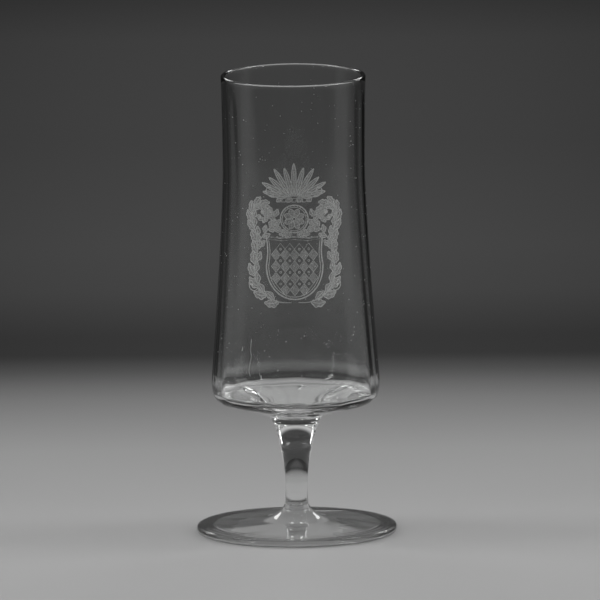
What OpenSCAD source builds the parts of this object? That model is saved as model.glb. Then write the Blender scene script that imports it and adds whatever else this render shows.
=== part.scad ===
// Snaps glass on a foot: a tall waisted bowl, a short solid stem and a thin round foot.
// The three pieces of clear glass are fused face to face. Millimetres, +Z up,
// origin on the axis of the glass at the height of the table.

/* [Bowl] */
// Height of the rim above the table
total_h = 115.4; // [110:0.2:120]
// Outer radius at the rim
rim_r = 18.1; // [18:0.1:19]
// Outer radius at the narrowest place
waist_r = 17.75; // [17:0.05:18]
// Height of the narrowest place
waist_z = 91; // [85:1:100]
// Outer radius where the side ends and the rounded bottom begins
belly_r = 20.85; // [20.4:0.05:21.4]
// Height where the side ends and the rounded bottom begins
belly_z = 40; // [39:0.5:43]
// Wall thickness at the rim
rim_wall = 1.15; // [0.9:0.05:1.4]
// Wall thickness at the belly
belly_wall = 1.35; // [1.1:0.05:1.8]
// Height of the inside of the bowl at its centre
floor_z = 32.5; // [32.2:0.1:32.8]

/* [Stem] */
// Height of the fused joint between bowl and stem
bowl_joint_z = 29.1; // [28.6:0.1:29.4]
// Radius of the stem at its top
stem_top_r = 6.3; // [6:0.05:6.5]
// Radius of the stem at its narrowest place
stem_neck_r = 2.75; // [2.4:0.05:2.85]
// Height of the narrowest place of the stem
stem_neck_z = 11; // [10:0.25:12]
// Radius of the stem at its lower end
stem_foot_r = 2.95; // [2.9:0.05:3.05]

/* [Foot] */
// Height of the fused joint between stem and foot
foot_joint_z = 6.9; // [6.7:0.1:7.3]
// Outer radius of the foot
foot_r = 25.05; // [24:0.05:27]
// Thickness of the foot at its edge
edge_h = 1.8; // [1.6:0.1:2.2]
// Height of the foot's top where its cone begins
disc_h = 3.15; // [3:0.05:3.3]
// Height of the hollow under the middle of the foot
hollow_h = 0.5; // [0.3:0.1:1]

/* [Hidden] */
$fn = 96;
clear_glass = [0.86, 0.9, 0.91, 0.4];

// Side of the bowl
side_power = 1.3;
side_steps = 18;
lip_steps = 8;
lip_r = rim_wall / 2;
lip_z = total_h - lip_r;

// Rounded bottom of the bowl, which meets the side without an edge
side_lean = atan(side_power * (belly_r - waist_r) / (waist_z - belly_z));
corner_drop = 8;
corner_pull = 7.3;
base_r = 12.5;
base_z = bowl_joint_z + 2.25;
base_slope = 14.8;
pad_r = stem_top_r + 0.1;

// Inside of the bowl: a round corner, then a floor that sinks a little to its middle
inner_r = belly_r - belly_wall;
inner_z = belly_z - 4;
inside_low_z = belly_z - 1;
heel_r = 15;
heel_z = inner_z - 1.8;
floor_slope = 12;
floor_r = 7;
floor_rise = 0.3;

// Foot
collar_r = 3.3;
collar_z = foot_joint_z - 0.6;
cone_r = 9;
hollow_r = 7;
rest_inner_r = foot_r - 4.55;
rest_outer_r = foot_r - 0.75;
edge_mid_z = 0.8;

// Points of the cubic curve from p0 to p3 that leaves towards p1 and arrives from p2
function curve(p0, p1, p2, p3, steps) = [
    for (i = [0:steps])
        let (t = i / steps, s = 1 - t)
        s * s * s * p0 + 3 * s * s * t * p1 + 3 * s * t * t * p2 + t * t * t * p3
];

// The point at a distance from p in a direction, in degrees
function away(p, distance, angle) = p + distance * [cos(angle), sin(angle)];

// Outer radius of the bowl's side at height z
function side_r(z) =
    z < waist_z
    ? waist_r + (belly_r - waist_r) * pow((waist_z - z) / (waist_z - belly_z), side_power)
    : waist_r + (rim_r - waist_r) * pow((z - waist_z) / (total_h - waist_z), 2);

// Wall thickness of the bowl's side at height z
function wall(z) = belly_wall + (rim_wall - belly_wall) * (z - belly_z) / (total_h - belly_z);

// Half circle over the rim, from the outside to the inside
function lip(r) = [
    for (i = [0:lip_steps])
        [r - lip_r, lip_z] + lip_r * [cos(180 * i / lip_steps), sin(180 * i / lip_steps)]
];

// The blown bowl, with the pad under its base that takes the stem
module bowl() {
    belly = [belly_r, belly_z];
    base = [base_r, base_z];
    pad = [pad_r, bowl_joint_z];
    inner = [inner_r, inner_z];
    heel = [heel_r, heel_z];
    floor_edge = [floor_r, floor_z + floor_rise];
    underside = curve(pad, away(pad, 1.3, 22), away(base, -6, base_slope), base, 6);
    corner = curve(base, away(base, corner_pull, base_slope), away(belly, corner_drop, side_lean - 90), belly, 16);
    outside = [
        for (i = [1:side_steps])
            let (z = belly_z + (lip_z - belly_z) * i / side_steps)
            [side_r(z), z]
    ];
    inside = [
        for (i = [side_steps - 1:-1:0])
            let (z = inside_low_z + (lip_z - inside_low_z) * i / side_steps)
            [side_r(z) - wall(z), z]
    ];
    inner_corner = curve(inner, away(inner, 2.2, -90), away(heel, 2.4, floor_slope), heel, 8);
    inner_floor = curve(heel, away(heel, -3, floor_slope), away(floor_edge, 2, floor_slope), floor_edge, 4);
    color(clear_glass)
        rotate_extrude()
            polygon(concat(
                [[0, bowl_joint_z], pad],
                [for (i = [1:6]) underside[i]],
                [for (i = [1:16]) corner[i]],
                outside,
                lip(side_r(lip_z)),
                inside,
                inner_corner,
                [for (i = [1:4]) inner_floor[i]],
                [[0, floor_z]]
            ));
}

// The solid stem, widest under the bowl
module stem() {
    top = [stem_top_r, bowl_joint_z - 0.5];
    neck = [stem_neck_r, stem_neck_z];
    foot_end = [stem_foot_r, foot_joint_z];
    color(clear_glass)
        rotate_extrude()
            polygon(concat(
                [[0, bowl_joint_z], [0, foot_joint_z]],
                curve(foot_end, away(foot_end, 1.4, 95), away(neck, 1.4, -90), neck, 6),
                curve(neck, away(neck, 5, 90), away(top, 5.3, -118), top, 14),
                [[stem_top_r, bowl_joint_z]]
            ));
}

// The pressed foot: a collar round the joint, a low cone and a thin disc, with a low hollow beneath
module foot() {
    collar = [collar_r, collar_z];
    cone = [cone_r, disc_h];
    edge_top = [foot_r - 0.6, edge_h];
    edge = [foot_r, edge_mid_z];
    rest_outer = [rest_outer_r, 0];
    rest_inner = [rest_inner_r, 0];
    color(clear_glass)
        rotate_extrude()
            polygon(concat(
                curve([0, hollow_h], [hollow_r, hollow_h], away(rest_inner, -5, -2), rest_inner, 10),
                curve(rest_outer, away(rest_outer, 0.4, 0), away(edge, 0.4, -90), edge, 5),
                curve(edge, away(edge, 0.5, 90), away(edge_top, 0.3, 0), edge_top, 5),
                curve(cone, away(cone, -3, -7), away(collar, 1.2, -65), collar, 8),
                [[stem_foot_r, foot_joint_z], [0, foot_joint_z]]
            ));
}

bowl();
stem();
foot();
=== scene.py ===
"""Clear glass on a foot with an engraved ornament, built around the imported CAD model.

The scene is in metres, +Z up. Outlines and the ornament are drawn in millimetres and scaled by MM.
"""
import math
import random

import bmesh
import bpy
from mathutils import Matrix, Vector


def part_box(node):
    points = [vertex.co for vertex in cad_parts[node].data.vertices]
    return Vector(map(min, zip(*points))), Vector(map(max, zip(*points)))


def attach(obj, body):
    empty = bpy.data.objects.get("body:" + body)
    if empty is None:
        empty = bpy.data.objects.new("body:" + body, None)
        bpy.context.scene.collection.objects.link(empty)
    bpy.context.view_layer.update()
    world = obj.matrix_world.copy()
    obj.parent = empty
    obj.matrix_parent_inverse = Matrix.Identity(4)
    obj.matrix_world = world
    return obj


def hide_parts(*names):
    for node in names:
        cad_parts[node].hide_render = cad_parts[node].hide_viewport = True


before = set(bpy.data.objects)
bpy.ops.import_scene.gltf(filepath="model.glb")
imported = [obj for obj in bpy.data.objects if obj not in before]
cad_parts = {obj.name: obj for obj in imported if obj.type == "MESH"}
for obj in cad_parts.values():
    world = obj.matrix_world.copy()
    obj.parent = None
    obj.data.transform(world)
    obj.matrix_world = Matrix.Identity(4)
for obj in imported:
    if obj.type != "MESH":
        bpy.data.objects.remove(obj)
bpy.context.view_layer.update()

MM = 0.001
SEGMENTS = 192

bowl_low, bowl_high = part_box("bowl")
stem_low, stem_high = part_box("stem")
foot_low, foot_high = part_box("foot")

# Sizes taken from the CAD model, in millimetres
TOTAL_H = bowl_high[2] / MM
BOWL_JOINT_Z = bowl_low[2] / MM
FOOT_JOINT_Z = stem_low[2] / MM
STEM_TOP_R = stem_high[0] / MM
FOOT_R = foot_high[0] / MM
GROUND_Z = foot_low[2] / MM

# Bowl, in millimetres and degrees, as the CAD model has it
RIM_R = 18.1
WAIST_R = 17.75
WAIST_Z = 91.0
BELLY_R = 20.85
BELLY_Z = 40.0
SIDE_POWER = 1.3
RIM_WALL = 1.15
BELLY_WALL = 1.35
PAD_R = STEM_TOP_R + 0.1
BASE_R = 12.5
BASE_Z = BOWL_JOINT_Z + 2.25
BASE_SLOPE = 14.8
CORNER_PULL = 7.3
CORNER_DROP = 8
INNER_R = BELLY_R - BELLY_WALL
INNER_Z = BELLY_Z - 4
INSIDE_LOW_Z = BELLY_Z - 1
HEEL_R = 15.0
HEEL_Z = 34.2
FLOOR_SLOPE = 12
FLOOR_R = 7.0
FLOOR_Z = 32.5
FLOOR_RISE = 0.3

# Stem
NECK_R = 2.75
NECK_Z = 11.0
STEM_FOOT_R = 2.95

# Foot, which has a low hollow beneath
HOLLOW_R = 7
HOLLOW_Z = 0.5
REST_INNER_R = 20.5
REST_OUTER_R = FOOT_R - 0.75
EDGE_MID_Z = 0.8
EDGE_TOP_R = FOOT_R - 0.6
EDGE_H = 1.8
CONE_R = 9.0
DISC_H = 3.15
COLLAR_R = 3.3
COLLAR_Z = FOOT_JOINT_Z - 0.6


# ---------------------------------------------------------------- outlines
def curve(p0, p1, p2, p3, steps):
    """Points of the cubic curve from p0 to p3 that leaves towards p1 and arrives from p2."""
    points = []
    for i in range(steps + 1):
        t = i / steps
        s = 1 - t
        points.append(tuple(
            s ** 3 * a + 3 * s * s * t * b + 3 * s * t * t * c + t ** 3 * d
            for a, b, c, d in zip(p0, p1, p2, p3)
        ))
    return points


def away(p, distance, degrees):
    """The point at a distance from p in a direction."""
    angle = math.radians(degrees)
    return (p[0] + distance * math.cos(angle), p[1] + distance * math.sin(angle))


def steps_between(low, high, steps):
    """Evenly spaced values from low to high, both included."""
    return [low + (high - low) * i / steps for i in range(steps + 1)]


def side_r(z):
    """Outer radius of the bowl's side at height z."""
    if z < WAIST_Z:
        share = (WAIST_Z - z) / (WAIST_Z - BELLY_Z)
        return WAIST_R + (BELLY_R - WAIST_R) * share ** SIDE_POWER
    share = (z - WAIST_Z) / (TOTAL_H - WAIST_Z)
    return WAIST_R + (RIM_R - WAIST_R) * share ** 2


def wall(z):
    """Thickness of the bowl's side at height z."""
    return BELLY_WALL + (RIM_WALL - BELLY_WALL) * (z - BELLY_Z) / (TOTAL_H - BELLY_Z)


def bowl_outline():
    """Half section of the bowl, from the axis under its base, over the rim, to the axis inside."""
    lean = math.degrees(math.atan(SIDE_POWER * (BELLY_R - WAIST_R) / (WAIST_Z - BELLY_Z)))
    pad = (PAD_R, BOWL_JOINT_Z)
    base = (BASE_R, BASE_Z)
    belly = (BELLY_R, BELLY_Z)
    inner = (INNER_R, INNER_Z)
    heel = (HEEL_R, HEEL_Z)
    floor_edge = (FLOOR_R, FLOOR_Z + FLOOR_RISE)
    lip_r = RIM_WALL / 2
    lip_z = TOTAL_H - lip_r
    lip_steps = 16
    side_steps = 60
    points = [(0, BOWL_JOINT_Z), pad]
    points += curve(pad, away(pad, 1.3, 22), away(base, -6, BASE_SLOPE), base, 14)[1:]
    pull, drop = away(base, CORNER_PULL, BASE_SLOPE), away(belly, CORNER_DROP, lean - 90)
    points += curve(base, pull, drop, belly, 36)[1:]
    points += [(side_r(z), z) for z in steps_between(BELLY_Z, lip_z, side_steps)[1:]]
    top_r = side_r(lip_z)
    for i in range(1, lip_steps + 1):
        angle = math.pi * i / lip_steps
        points.append((top_r - lip_r + lip_r * math.cos(angle), lip_z + lip_r * math.sin(angle)))
    heights = steps_between(INSIDE_LOW_Z, lip_z, side_steps)[:-1]
    points += [(side_r(z) - wall(z), z) for z in reversed(heights)]
    points += curve(inner, away(inner, 2.2, -90), away(heel, 2.4, FLOOR_SLOPE), heel, 30)
    points += curve(heel, away(heel, -3, FLOOR_SLOPE), away(floor_edge, 2, FLOOR_SLOPE), floor_edge, 16)[1:]
    points += curve(floor_edge, away(floor_edge, -3, FLOOR_SLOPE), (3, FLOOR_Z), (0, FLOOR_Z), 12)[1:]
    return points


def stem_outline():
    """Half section of the stem, from the axis at its lower end to the axis at its top."""
    top = (STEM_TOP_R, BOWL_JOINT_Z - 0.5)
    neck = (NECK_R, NECK_Z)
    end = (STEM_FOOT_R, FOOT_JOINT_Z)
    points = [(0, FOOT_JOINT_Z)]
    points += curve(end, away(end, 1.4, 95), away(neck, 1.4, -90), neck, 14)
    points += curve(neck, away(neck, 5, 90), away(top, 5.3, -118), top, 40)[1:]
    points += [(STEM_TOP_R, BOWL_JOINT_Z), (0, BOWL_JOINT_Z)]
    return points


def foot_outline():
    """Half section of the foot, from the axis beneath it to the axis at its joint."""
    rest_inner = (REST_INNER_R, GROUND_Z)
    rest_outer = (REST_OUTER_R, GROUND_Z)
    edge = (FOOT_R, EDGE_MID_Z)
    edge_top = (EDGE_TOP_R, EDGE_H)
    cone = (CONE_R, DISC_H)
    collar = (COLLAR_R, COLLAR_Z)
    disc_steps = 60
    points = curve((0, HOLLOW_Z), (HOLLOW_R, HOLLOW_Z), away(rest_inner, -5, -2), rest_inner, 32)
    points += curve(rest_outer, away(rest_outer, 0.4, 0), away(edge, 0.4, -90), edge, 10)
    points += curve(edge, away(edge, 0.5, 90), away(edge_top, 0.3, 0), edge_top, 10)[1:]
    for i in range(1, disc_steps):
        points.append(tuple(a + (b - a) * i / disc_steps for a, b in zip(edge_top, cone)))
    points += curve(cone, away(cone, -3, -7), away(collar, 1.2, -65), collar, 20)
    points += [(STEM_FOOT_R, FOOT_JOINT_Z), (0, FOOT_JOINT_Z)]
    return points


# ---------------------------------------------------------------- meshes
def add_piece(name, bm, materials):
    """Makes a bmesh into an object of the scene."""
    mesh = bpy.data.meshes.new(name)
    bm.to_mesh(mesh)
    bm.free()
    for material in materials:
        mesh.materials.append(material)
    piece = bpy.data.objects.new(name, mesh)
    bpy.context.scene.collection.objects.link(piece)
    return piece


def ring(bm, r, z, inside, ripple):
    """The vertices of one circle of a lathed piece, or its one vertex on the axis."""
    if r == 0:
        return [bm.verts.new((0, 0, z * MM))]
    vertices = []
    for k in range(SEGMENTS):
        angle = 2 * math.pi * k / SEGMENTS
        dr, dz = ripple(angle, r, z, inside) if ripple else (0, 0)
        x, y = (r + dr) * math.cos(angle), (r + dr) * math.sin(angle)
        vertices.append(bm.verts.new((x * MM, y * MM, (z + dz) * MM)))
    return vertices


def lathe(name, outline, joint_heights, ripple=None, bubbles=()):
    """Turns a half section round the Z axis into one closed mesh of glass.

    The flat faces at joint_heights are fused ones. ripple(angle, r, z, inside) gives how far a point
    strays, and inside tells whether it comes after the outline's top.
    """
    bm = bmesh.new()
    top = outline.index(max(outline, key=lambda p: p[1]))
    rings = [ring(bm, r, z, i > top, ripple) for i, (r, z) in enumerate(outline)]
    for lower, upper in zip(rings, rings[1:]):
        for k in range(SEGMENTS):
            j = (k + 1) % SEGMENTS
            below = [lower[k % len(lower)], lower[j % len(lower)]]
            above = [upper[j % len(upper)], upper[k % len(upper)]]
            corners = list(dict.fromkeys(below + above))
            if len(corners) > 2:
                bm.faces.new(corners)
    bmesh.ops.recalc_face_normals(bm, faces=bm.faces)
    for place, size in bubbles:
        add_bubble(bm, place, size)
    piece = add_piece(name, bm, [glass, fused])
    for face in piece.data.polygons:
        face.use_smooth = True
        flat = abs(face.normal.z) > 0.999
        if flat and any(abs(face.center.z / MM - z) < 1e-3 for z in joint_heights):
            face.material_index = 1
    piece.data.set_sharp_from_angle(angle=math.radians(30))
    return piece


def add_bubble(bm, place, size):
    """A slightly flat ball with its faces turned inwards: a hollow in the glass."""
    flatness = 0.8
    scale = Matrix.Diagonal((size * MM, size * MM, size * flatness * MM, 1))
    matrix = Matrix.Translation(Vector(place) * MM) @ scale
    ball = bmesh.ops.create_icosphere(bm, subdivisions=2, radius=1, matrix=matrix)
    faces = {face for vert in ball["verts"] for face in vert.link_faces}
    bmesh.ops.reverse_faces(bm, faces=list(faces))


# ---------------------------------------------------------------- materials
def new_material(name):
    material = bpy.data.materials.new(name)
    material.use_nodes = True
    return material


def principled(material):
    """The main shader of a material."""
    return material.node_tree.nodes["Principled BSDF"]


def map_range(tree, value, from_low, from_high, to_low, to_high):
    """A smooth step of a socket's value from one range to another."""
    node = tree.nodes.new("ShaderNodeMapRange")
    node.interpolation_type = "SMOOTHSTEP"
    node.inputs["From Min"].default_value = from_low
    node.inputs["From Max"].default_value = from_high
    node.inputs["To Min"].default_value = to_low
    node.inputs["To Max"].default_value = to_high
    tree.links.new(value, node.inputs["Value"])
    return node.outputs["Result"]


def operation_node(tree, kind, operation, *values):
    """A math or vector math node, whose values are sockets or constants."""
    node = tree.nodes.new(kind)
    node.operation = operation
    for socket, value in zip(node.inputs, values):
        if isinstance(value, bpy.types.NodeSocket):
            tree.links.new(value, socket)
        else:
            socket.default_value = value
    return node


def math_node(tree, operation, *values):
    return operation_node(tree, "ShaderNodeMath", operation, *values).outputs[0]


def vector_node(tree, operation, *values):
    return operation_node(tree, "ShaderNodeVectorMath", operation, *values).outputs[0]


def noise_node(tree, place, scale, detail):
    node = tree.nodes.new("ShaderNodeTexNoise")
    node.inputs["Scale"].default_value = scale
    node.inputs["Detail"].default_value = detail
    tree.links.new(place, node.inputs["Vector"])
    return node


def glass_material(name):
    material = new_material(name)
    shader = principled(material)
    shader.inputs["Base Color"].default_value = (0.99, 0.995, 0.992, 1)
    shader.inputs["Transmission Weight"].default_value = 1.0
    shader.inputs["Roughness"].default_value = 0.0
    shader.inputs["IOR"].default_value = 1.52
    return material


def joint_material():
    """The fused face between two pieces of glass, where light goes straight through."""
    material = new_material("fused_joint")
    tree = material.node_tree
    tree.nodes.remove(principled(material))
    clear = tree.nodes.new("ShaderNodeBsdfTransparent")
    tree.links.new(clear.outputs[0], tree.nodes["Material Output"].inputs["Surface"])
    return material


def underside_material():
    """Glass, but where a film of water joins it to the table the light goes straight through."""
    film_middle = (-0.002, -0.0065, 0.0)
    film_radii = (0.0135, 0.0175, 1.0)
    film_wobble = (0.011, 0.008, 0.0)
    inside_film, outside_film = 1.0, 0.6
    material = glass_material("wet_underside")
    tree = material.node_tree
    place = tree.nodes.new("ShaderNodeTexCoord").outputs["Object"]
    wobble = noise_node(tree, place, 260.0, 5.0)
    wobble.inputs["Roughness"].default_value = 0.6
    shift = vector_node(tree, "SUBTRACT", wobble.outputs["Color"], (0.5, 0.5, 0.5))
    shift = vector_node(tree, "MULTIPLY", shift, film_wobble)
    point = vector_node(tree, "ADD", place, shift)
    point = vector_node(tree, "SUBTRACT", point, film_middle)
    point = vector_node(tree, "DIVIDE", point, film_radii)
    reach = operation_node(tree, "ShaderNodeVectorMath", "LENGTH", point).outputs["Value"]
    wet = map_range(tree, reach, 0.98, 1.02, inside_film, outside_film)
    clear = tree.nodes.new("ShaderNodeBsdfTransparent")
    mix = tree.nodes.new("ShaderNodeMixShader")
    tree.links.new(wet, mix.inputs[0])
    tree.links.new(principled(material).outputs[0], mix.inputs[1])
    tree.links.new(clear.outputs[0], mix.inputs[2])
    tree.links.new(mix.outputs[0], tree.nodes["Material Output"].inputs["Surface"])
    return material


def engraving_material(name, cover):
    """Matt ground glass: whitish, and the glass behind shows through it. cover is how much it hides."""
    material = new_material(name)
    tree = material.node_tree
    shader = principled(material)
    place = tree.nodes.new("ShaderNodeTexCoord").outputs["Object"]
    grain = noise_node(tree, place, 2600.0, 4.0)
    amount = tree.nodes.new("ShaderNodeMapRange")
    amount.inputs["From Min"].default_value = 0.3
    amount.inputs["From Max"].default_value = 0.7
    amount.inputs["To Min"].default_value = cover * 0.72
    amount.inputs["To Max"].default_value = cover * 1.28
    tree.links.new(grain.outputs["Fac"], amount.inputs["Value"])
    tree.links.new(amount.outputs["Result"], shader.inputs["Alpha"])
    shader.inputs["Base Color"].default_value = (0.82, 0.83, 0.82, 1)
    shader.inputs["Roughness"].default_value = 0.75
    shader.inputs["Specular IOR Level"].default_value = 0.3
    return material


# Painted light on the floor along Y, from in front of the glass to far behind it: a pale pool of painted
# light round the glass, fading to painted shade in front and behind: (metres, grey)
FLOOR_START = -0.6
FLOOR_LENGTH = 1.6
FLOOR_PAINTED_LIGHT = (
    (-0.5, 0.035), (-0.28, 0.07), (-0.19, 0.22), (-0.11, 0.53), (-0.02, 0.545), (0.05, 0.455),
    (0.12, 0.385), (0.16, 0.31), (0.195, 0.24), (0.215, 0.182), (0.235, 0.112), (0.26, 0.051),
    (0.29, 0.049), (0.36, 0.072), (0.43, 0.077), (0.6, 0.067), (0.78, 0.07), (0.9, 0.045),
)


def floor_material():
    """Painted light and shade on the floor: pale round the glass, and falling off into painted dark behind
    it and to the sides.
    """
    material = new_material("floor")
    tree = material.node_tree
    shader = principled(material)
    split = tree.nodes.new("ShaderNodeSeparateXYZ")
    tree.links.new(tree.nodes.new("ShaderNodeTexCoord").outputs["Object"], split.inputs[0])
    ramp = tree.nodes.new("ShaderNodeValToRGB")
    depth = math_node(tree, "SUBTRACT", split.outputs["Y"], FLOOR_START)
    tree.links.new(math_node(tree, "DIVIDE", depth, FLOOR_LENGTH), ramp.inputs[0])
    elements = ramp.color_ramp.elements
    while len(elements) < len(FLOOR_PAINTED_LIGHT):
        elements.new(0.5)
    for element, (y, grey) in zip(elements, FLOOR_PAINTED_LIGHT):
        element.position = (y - FLOOR_START) / FLOOR_LENGTH
        element.color = (grey, grey, grey, 1)
    # Painted shade: the floor darkens sideways, more so far behind the glass
    sideways = math_node(tree, "ABSOLUTE", split.outputs["X"])
    narrowing = map_range(tree, split.outputs["Y"], 0.12, 0.25, 0.4, 1.0)
    reach = math_node(tree, "MULTIPLY", sideways, narrowing)
    painted_side_shade = map_range(tree, reach, 0.01, 0.24, 1.0, 0.3)
    shade = operation_node(tree, "ShaderNodeVectorMath", "SCALE", ramp.outputs["Color"])
    tree.links.new(painted_side_shade, shade.inputs["Scale"])
    tree.links.new(shade.outputs["Vector"], shader.inputs["Base Color"])
    shader.inputs["Roughness"].default_value = 1.0
    shader.inputs["Specular IOR Level"].default_value = 0.0
    return material


# ---------------------------------------------------------------- the glass
# Waves round the axis: (how many in a turn, relative size, phase)
BOWL_STREAKS = ((9, 1.0, 0.3), (17, 0.9, 2.1), (23, 0.7, 4.4), (31, 0.5, 1.0))
BASE_SWIRLS = ((5, 1.0, 0.7), (9, 0.8, 2.9), (16, 0.6, 4.0), (27, 0.35, 1.3))
FOOT_SWIRLS = ((4, 1.0, 0.2), (7, 0.8, 1.9), (13, 0.5, 3.3))

# How deep the waves are, in millimetres
INNER_STREAK_DEPTH = 0.022
OUTER_STREAK_DEPTH = 0.005
INNER_SWIRL_DEPTH = 0.05
OUTER_SWIRL_DEPTH = 0.07
FOOT_SWIRL_DEPTH = 0.035
FOOT_RING_DEPTH = 0.035
FOOT_RING_PITCH = 1.35


def fade(value, low, high):
    """How far value is from low to high, kept between 0 and 1."""
    return min(1.0, max(0.0, (value - low) / (high - low)))


def waves(angle, drift, terms):
    return sum(size * math.sin(count * angle + phase + drift) for count, size, phase in terms)


def bowl_ripple(angle, r, z, inside):
    """How far the blown glass strays from a true round: upright streaks in the side, waves in the base."""
    streaks = waves(angle, 0.03 * z, BOWL_STREAKS)
    swirls = waves(angle, 0.2 * r, BASE_SWIRLS)
    under_rim = fade(z, TOTAL_H - 1, TOTAL_H - 8)
    if inside:
        side = fade(z, 34.5, 37.5)
        low = (1 - side) * fade(r, 1, 6)
        return INNER_STREAK_DEPTH * streaks * side * under_rim, INNER_SWIRL_DEPTH * swirls * low
    side = fade(z, 36, 40)
    low = fade(z, 40, 36) * fade(z, BOWL_JOINT_Z + 0.3, BOWL_JOINT_Z + 1.5)
    return OUTER_STREAK_DEPTH * streaks * side * under_rim, -OUTER_SWIRL_DEPTH * swirls * low


def foot_ripple(angle, r, z, _inside):
    """Rings pressed into the top of the foot near its edge, and slight waves nearer to its middle."""
    if z < 1.5 or r > FOOT_R - 0.7:
        return 0, 0
    rings = FOOT_RING_DEPTH * math.sin(2 * math.pi * r / FOOT_RING_PITCH) * fade(r, 19.5, 22)
    swirls = FOOT_SWIRL_DEPTH * waves(angle, 0.35 * r, FOOT_SWIRLS)
    return 0, rings + swirls * fade(r, 8, 12) * fade(r, 23, 20)


def joint_bubbles():
    """The ring of small bubbles caught over the fused joint under the bowl, each a place and a size."""
    draw = random.Random(11)
    bubbles = []
    count = 30
    for k in range(count):
        angle = 2 * math.pi * (k + draw.uniform(-0.3, 0.3)) / count
        r = draw.uniform(5.3, 6.0)
        place = (r * math.cos(angle), r * math.sin(angle), BOWL_JOINT_Z + draw.uniform(0.25, 0.7))
        bubbles.append((place, draw.uniform(0.08, 0.2)))
    return bubbles


glass = glass_material("clear_glass")
fused = joint_material()
bowl = lathe("blown_bowl", bowl_outline(), [BOWL_JOINT_Z], bowl_ripple, joint_bubbles())
stem = lathe("solid_stem", stem_outline(), [BOWL_JOINT_Z, FOOT_JOINT_Z])
foot = lathe("pressed_foot", foot_outline(), [FOOT_JOINT_Z], foot_ripple)
foot.data.materials.append(underside_material())
for face in foot.data.polygons:
    if face.normal.z < -0.5 and face.center.z < 1.5 * HOLLOW_Z * MM:
        face.material_index = 2
for piece, node in ((bowl, "bowl"), (stem, "stem"), (foot, "foot")):
    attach(piece, "root")
    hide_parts(node)


# ---------------------------------------------------------------- the engraving
# An ornament on the bowl's front. Its points are (sideways, height) in millimetres on the glass.
SHIELD_TOP_Z = 77.4
SHIELD_SHOULDER_Z = 70.2
SHIELD_MIDDLE_Z = 70.0
SHIELD_TIP_Z = 61.8
SHIELD_HALF_W = 7.2
LOZENGE_HALF_W = 1.175
LOZENGE_HALF_H = 1.45
MEDAL_Z = 81.9
WREATH_Z = 86.6
FAN_Z = 87.3

# Widths of cut lines
HAIRLINE = 0.13
THIN = 0.16
MIDDLING = 0.2
BROAD = 0.34

# Strips gathered for the engraving: (left edge, right edge, faces across)
lines = []
tones = []


def stroke(points, width, taper=False):
    """Adds a cut line along points; a tapered one thins out to its ends."""
    thinnest = 0.35
    sides = ([], [])
    last = len(points) - 1
    for i, (u, z) in enumerate(points):
        before, after = points[max(i - 1, 0)], points[min(i + 1, last)]
        du, dz = after[0] - before[0], after[1] - before[1]
        size = math.hypot(du, dz) or 1.0
        half = width / 2
        if taper:
            half *= thinnest + (1 - thinnest) * math.sin(math.pi * i / last)
        for edge, sign in zip(sides, (1, -1)):
            edge.append((u - sign * half * dz / size, z + sign * half * du / size))
    lines.append((*sides, 1))


def tone(left, right, across):
    """Adds a matt patch between two edges."""
    tones.append((left, right, across))


def dot(middle, r):
    """Adds a small cut disc."""
    lines.append((arc(middle, r, 90, 270, 6), arc(middle, r, 90, -90, 6), 1))


def arc(middle, r, start, end, steps):
    return [away(middle, r, start + (end - start) * i / steps) for i in range(steps + 1)]


def circle(middle, r, steps, width):
    stroke(arc(middle, r, 0, 360, steps), width)


def through(knots, steps=10):
    """Points of a smooth line through given knots."""
    points = []
    last = len(knots) - 1
    for i in range(last):
        a, b, c, d = (Vector(knots[max(0, min(j, last))]) for j in range(i - 1, i + 3))
        for k in range(steps):
            t = k / steps
            p = 0.5 * (2 * b + (c - a) * t + (2 * a - 5 * b + 4 * c - d) * t * t
                       + (3 * b - a - 3 * c + d) * t ** 3)
            points.append((p.x, p.y))
    return points + [tuple(knots[-1])]


def on_route(route, share):
    """A point of a route and its direction there."""
    i = min(int(share * (len(route) - 1)), len(route) - 2)
    a, b = route[i], route[i + 1]
    return a, math.degrees(math.atan2(b[1] - a[1], b[0] - a[0]))


def to_side(points, side):
    """The points as they are for side 1, and mirrored for side -1."""
    return [(side * u, z) for u, z in points]


def leaf(base, heading, length, width, bend, lobes, side=1):
    """A lobed leaf with its midrib. heading and bend are degrees on the right side, side -1 mirrors it."""
    steps = 18
    ribs, left, right = [base], [], []
    for i in range(steps):
        ribs.append(away(ribs[-1], length / steps, heading + bend * i / steps))
    for i, p in enumerate(ribs):
        t = i / steps
        lobe = 0.66 + 0.34 * abs(math.cos(math.pi * lobes * t))
        half = width / 2 * math.sin(math.pi * t ** 0.8) ** 0.75 * lobe + 0.02
        turn = heading + bend * t
        left.append(away(p, half, turn + 90))
        right.append(away(p, half, turn - 90))
    ribs, left, right = to_side(ribs, side), to_side(left, side), to_side(right, side)
    stroke(left, MIDDLING)
    stroke(right, MIDDLING)
    stroke(ribs, THIN, True)
    tone(left, right, 4)


def leaf_pair(route, share, lean, length, width, bend, lobes):
    """The same leaf on the right and the left scroll. lean is degrees off the scroll's direction."""
    place, heading = on_route(route, share)
    for side in (1, -1):
        leaf(place, heading + lean, length, width, bend, lobes, side)


def petal(base, heading, length, width):
    steps = 10
    left, right = [], []
    for i in range(steps + 1):
        t = i / steps
        half = width / 2 * math.sin(math.pi * t ** 1.35) ** 0.8 + 0.02
        p = away(base, length * t, heading)
        left.append(away(p, half, heading + 90))
        right.append(away(p, half, heading - 90))
    stroke(left, THIN)
    stroke(right, THIN)
    tone(left, right, 2)


def shield_half_width(z):
    """Half the shield's width at height z: upright sides over a round tip."""
    if z > SHIELD_SHOULDER_Z:
        share = (z - SHIELD_SHOULDER_Z) / (SHIELD_TOP_Z - SHIELD_SHOULDER_Z)
        return SHIELD_HALF_W * (1 - 0.055 * math.sin(math.pi * share))
    depth = (SHIELD_SHOULDER_Z - z) / (SHIELD_SHOULDER_Z - SHIELD_TIP_Z)
    return SHIELD_HALF_W * math.sqrt(max(0.0, 1 - depth ** 2.1))


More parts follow.
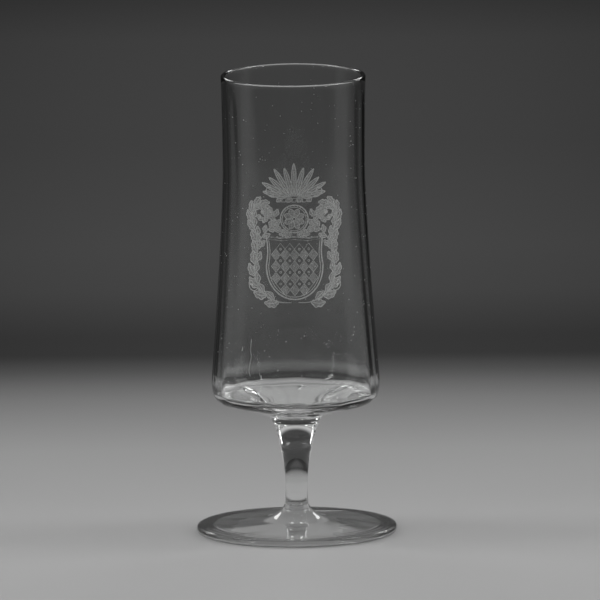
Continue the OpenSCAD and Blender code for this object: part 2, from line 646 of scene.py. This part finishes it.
def shield_edge(inset):
    """The shield's outline, from its middle top round its right side to its tip, drawn in by inset."""
    steps = 36
    top, tip = SHIELD_TOP_Z - inset, SHIELD_TIP_Z + inset
    squeeze = (SHIELD_HALF_W - inset) / SHIELD_HALF_W
    points = [(0, top), ((SHIELD_HALF_W - inset) * 0.5, top - 0.35)]
    for i in range(steps + 1):
        share = math.sin(math.pi / 2 * i / steps)
        z = top - (top - tip) * share
        source_z = SHIELD_TOP_Z - (SHIELD_TOP_Z - SHIELD_TIP_Z) * share
        points.append((shield_half_width(source_z) * squeeze, z))
    return points


def shield():
    """Two outlines round a field of lozenges, with every other row matt."""
    for inset, width in ((0.0, BROAD), (0.62, 0.18)):
        edge = shield_edge(inset)
        for side in (1, -1):
            stroke(to_side(edge, side), width)
    for row in range(-6, 7):
        for column in range(-5, 6):
            if (row + column) % 2 == 0:
                middle = (column * LOZENGE_HALF_W, SHIELD_MIDDLE_Z + row * LOZENGE_HALF_H)
                lozenge(middle, matt=(row % 2 == 0))


def lozenge(middle, matt):
    """A matt lozenge or one with a small circle, left out where it would touch the shield's outline."""
    u, z = middle
    low, high = z - LOZENGE_HALF_H, z + LOZENGE_HALF_H
    corners = [(u, low), (u + LOZENGE_HALF_W, z), (u, high), (u - LOZENGE_HALF_W, z)]
    room = min(shield_half_width(corner[1]) - 0.75 - abs(corner[0]) for corner in corners)
    if room < 0 or high > SHIELD_TOP_Z - 0.7 or low < SHIELD_TIP_Z + 0.7:
        return
    stroke(corners + corners[:1], HAIRLINE)
    if not matt:
        circle(middle, 0.24, 10, THIN)
        return
    left, right = [], []
    for height in steps_between(low, high, 6):
        half = LOZENGE_HALF_W * (1 - abs(height - z) / LOZENGE_HALF_H)
        left.append((u - half, height))
        right.append((u + half, height))
    tone(left, right, 3)


def medallion():
    """A rosette of eight petals in a beaded ring."""
    middle = (0, MEDAL_Z)
    circle(middle, 3.45, 48, 0.3)
    circle(middle, 2.95, 48, THIN)
    for k in range(8):
        turn = 45 * k + 22.5
        petal(away(middle, 0.55, turn), turn, 2.1, 1.25)
    circle(middle, 0.42, 14, MIDDLING)
    for k in range(24):
        dot(away(middle, 3.2, 15 * k), 0.1)


def sprigs():
    """Two sprigs and a row of beads that join the medallion to the shield."""
    route = through([(0.4, 77.9), (1.9, 78.1), (3.6, 78.9), (4.6, 80.2)])
    for side in (1, -1):
        stroke(to_side(route, side), 0.24, True)
        for k in range(4):
            place, heading = on_route(route, 0.15 + 0.26 * k)
            leaf(place, heading - 40, 1.7, 0.95, 35, 1, side)
            leaf(place, heading + 44, 1.3, 0.8, -35, 1, side)
    for k in range(-4, 5):
        dot((1.45 * k, SHIELD_TOP_Z + 0.02 - 0.012 * k * k), 0.2)


def wreath():
    """A twisted band of slanted beads."""
    count = 7
    pitch = 1.28
    low, high = WREATH_Z - 0.48, WREATH_Z + 0.48
    for k in range(count):
        u = (k - (count - 1) / 2) * pitch
        left = [(u - 0.62, low), (u - 0.36, high)]
        right = [(u + 0.36, low), (u + 0.62, high)]
        stroke(left + right[::-1] + left[:1], 0.18)
        if k % 2 == 0:
            tone(left, right, 2)


def fan():
    """A palmette of long petals over the wreath, with two volutes at its foot."""
    for k in range(-5, 6):
        base = (0.42 * k, FAN_Z + 0.25 - 0.012 * k * k)
        length = 7.9 - 0.055 * k * k + (0.35 if k % 2 == 0 else -0.45)
        leaf(base, 90 - k * 14.6, length, 1.55, bend=-2.2 * k, lobes=1)
    volute = [(0.6, 87.2), (3.0, 87.5), (5.6, 87.3), (7.1, 88.4), (6.7, 89.6), (5.7, 89.3), (5.9, 88.5)]
    for side in (1, -1):
        stroke(to_side(through(volute), side), 0.26, True)


def scrolls():
    """Leafy scrolls on both sides of the shield."""
    outer = through([
        (0.9, 61.0), (4.6, 61.3), (8.9, 63.9), (10.5, 68.4), (9.7, 73.2), (10.0, 77.8),
        (11.1, 81.4), (10.3, 84.6), (8.2, 85.0), (7.1, 83.4), (7.9, 82.0), (9.0, 82.6),
    ])
    inner = through([(9.7, 73.6), (8.7, 76.6), (6.9, 78.9), (5.2, 80.6), (5.0, 82.8), (6.0, 84.2)])
    curl = through([(9.2, 64.6), (10.6, 63.6), (11.9, 64.2), (12.1, 65.7), (11.1, 66.2)])
    for route, width in ((outer, 0.36), (inner, 0.28), (curl, 0.24)):
        for side in (1, -1):
            stroke(to_side(route, side), width, True)
    for k in range(13):
        share = 0.09 + 0.056 * k
        size = 1 - 0.022 * k
        leaf_pair(outer, share, -42, 3.7 * size, 2.15 * size, 44, 3)
        leaf_pair(outer, share + 0.02, 38, 2.9 * size, 1.75 * size, -46, 2)
    for k in range(5):
        leaf_pair(outer, 0.83 + 0.035 * k, -62, 1.7 - 0.12 * k, 1.1, 60, 1)
    for k in range(5):
        share = 0.1 + 0.17 * k
        leaf_pair(inner, share, 52, 2.3 - 0.1 * k, 1.35, -40, 2)
        leaf_pair(inner, share + 0.07, -52, 2.1 - 0.1 * k, 1.3, 40, 2)
    for side in (1, -1):
        dot((side * 8.15, 83.4), 0.55)
        dot((side * 11.3, 65.0), 0.35)


def scuffs():
    """Fine dust and scuffs all round the bowl, and one crooked scratch low on its front."""
    draw = random.Random(5)
    for _ in range(320):
        z = draw.uniform(42, 112)
        dot((draw.uniform(-1, 1) * math.pi * side_r(z), z), draw.uniform(0.04, 0.12))
    scratch = [(-11.9, 42.2), (-12.3, 43.6), (-12.0, 45.4), (-11.6, 47.0), (-11.8, 48.6), (-11.5, 51.5)]
    stroke(through(scratch, 6), 0.11)
    stroke(through([(-14.6, 48.2), (-14.3, 48.7), (-14.4, 49.3)], 4), MIDDLING, True)


def on_glass(point, proud):
    """A place in metres on the bowl's front, proud of the glass."""
    u, z = point
    angle = u / side_r(z)
    r = side_r(z) + proud
    return (r * math.sin(angle) * MM, -r * math.cos(angle) * MM, z * MM)


def engraved(name, strips, proud, thickness, material):
    """One thin closed solid on the glass for each strip."""
    bm = bmesh.new()
    for left, right, across in strips:
        grids = []
        for height in (proud, proud + thickness):
            grid = []
            for a, b in zip(left, right):
                row = []
                for k in range(across + 1):
                    share = k / across
                    point = (a[0] + (b[0] - a[0]) * share, a[1] + (b[1] - a[1]) * share)
                    row.append(bm.verts.new(on_glass(point, height)))
                grid.append(row)
            grids.append(grid)
        close_sheet(bm, *grids)
    bmesh.ops.recalc_face_normals(bm, faces=bm.faces)
    piece = add_piece(name, bm, [material])
    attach(piece, "root")


def close_sheet(bm, lower, upper):
    """Faces of the thin solid between two grids of vertices."""
    rows, columns = len(lower), len(lower[0])
    for i in range(rows - 1):
        for k in range(columns - 1):
            bm.faces.new((lower[i][k], lower[i][k + 1], lower[i + 1][k + 1], lower[i + 1][k]))
            bm.faces.new((upper[i][k], upper[i + 1][k], upper[i + 1][k + 1], upper[i][k + 1]))
    for k in range(columns - 1):
        for i in (0, rows - 1):
            bm.faces.new((lower[i][k], upper[i][k], upper[i][k + 1], lower[i][k + 1]))
    for i in range(rows - 1):
        for k in (0, columns - 1):
            bm.faces.new((lower[i][k], upper[i][k], upper[i + 1][k], lower[i + 1][k]))


shield()
medallion()
sprigs()
wreath()
fan()
scrolls()
scuffs()
engraved("engraved_tones", tones, 0.004, 0.008, engraving_material("matt_tone", 0.3))
engraved("engraved_lines", lines, 0.014, 0.01, engraving_material("matt_line", 0.85))


# ---------------------------------------------------------------- stage
# Lights on both sides, aimed at the glass: (name, place on the right in metres, width, height, watts)
LIGHTS = (
    ("softbox", (0.8, 0.04, 0.35), 0.45, 0.5, 0.75),
    ("high_softbox", (0.7, 0.1, 0.9), 0.3, 0.4, 1.5),
    ("back_strip", (0.7, 0.6, 0.4), 0.1, 0.4, 0.45),
    ("back_window", (0.34, 0.78, 0.5), 0.24, 0.16, 0.62),
    ("front_strip", (0.8, -0.6, 0.35), 0.06, 0.55, 0.5),
)
LIGHT_TARGET = (0, 0, 0.06)
WALL_DARK = 0.035
WALL_GREY = 0.5


def stage_floor():
    bpy.ops.mesh.primitive_circle_add(vertices=128, radius=3.0, fill_type="NGON")
    floor = bpy.context.object
    floor.name = "floor"
    floor.data.materials.append(floor_material())


def area_light(name, place, width, height, power):
    data = bpy.data.lights.new(name, "AREA")
    data.shape = "RECTANGLE"
    data.size = width
    data.size_y = height
    data.energy = power
    lamp = bpy.data.objects.new(name, data)
    lamp.location = place
    aim = Vector(LIGHT_TARGET) - Vector(place)
    lamp.rotation_euler = aim.to_track_quat("-Z", "Y").to_euler()
    bpy.context.scene.collection.objects.link(lamp)


def lights():
    for side, side_name in ((-1, "left"), (1, "right")):
        for name, (x, y, z), width, height, power in LIGHTS:
            area_light(f"{side_name}_{name}", (side * x, y, z), width, height, power)


def studio_walls():
    """Dark at the height of the table and in front, and pale from a little above it to overhead."""
    world = bpy.data.worlds.new("studio")
    bpy.context.scene.world = world
    world.use_nodes = True
    tree = world.node_tree
    split = tree.nodes.new("ShaderNodeSeparateXYZ")
    tree.links.new(tree.nodes.new("ShaderNodeTexCoord").outputs["Generated"], split.inputs[0])
    upward = map_range(tree, split.outputs["Z"], 0.235, 0.33, WALL_DARK, WALL_GREY)
    backward = map_range(tree, split.outputs["Y"], -0.9, 0.4, 0.35, 1.0)
    background = tree.nodes["Background"]
    tree.links.new(math_node(tree, "MULTIPLY", upward, backward), background.inputs["Color"])
    background.inputs["Strength"].default_value = 1.0


def camera():
    """A long lens a little above the glass, leaning by half a degree."""
    distance = 7.0
    elevation = math.radians(9.6)
    roll = math.radians(0.5)
    frame_width = 0.1496
    sensor_width = 36
    aim = Vector((0.00125, 0, 0.0584))
    data = bpy.data.cameras.new("camera")
    data.sensor_width = sensor_width
    data.lens = sensor_width * distance / frame_width
    data.clip_end = 100
    eye = bpy.data.objects.new("camera", data)
    eye.location = aim + distance * Vector((0, -math.cos(elevation), math.sin(elevation)))
    turn = (aim - eye.location).to_track_quat("-Z", "Y").to_matrix().to_4x4()
    eye.matrix_world = Matrix.Translation(eye.location) @ turn @ Matrix.Rotation(-roll, 4, "Z")
    bpy.context.scene.collection.objects.link(eye)
    bpy.context.scene.camera = eye


stage_floor()
lights()
studio_walls()
camera()

scene = bpy.context.scene
scene.view_settings.view_transform = "Standard"
scene.cycles.max_bounces = 32
scene.cycles.transmission_bounces = 32
scene.cycles.transparent_max_bounces = 32
scene.cycles.caustics_refractive = True
scene.cycles.caustics_reflective = True
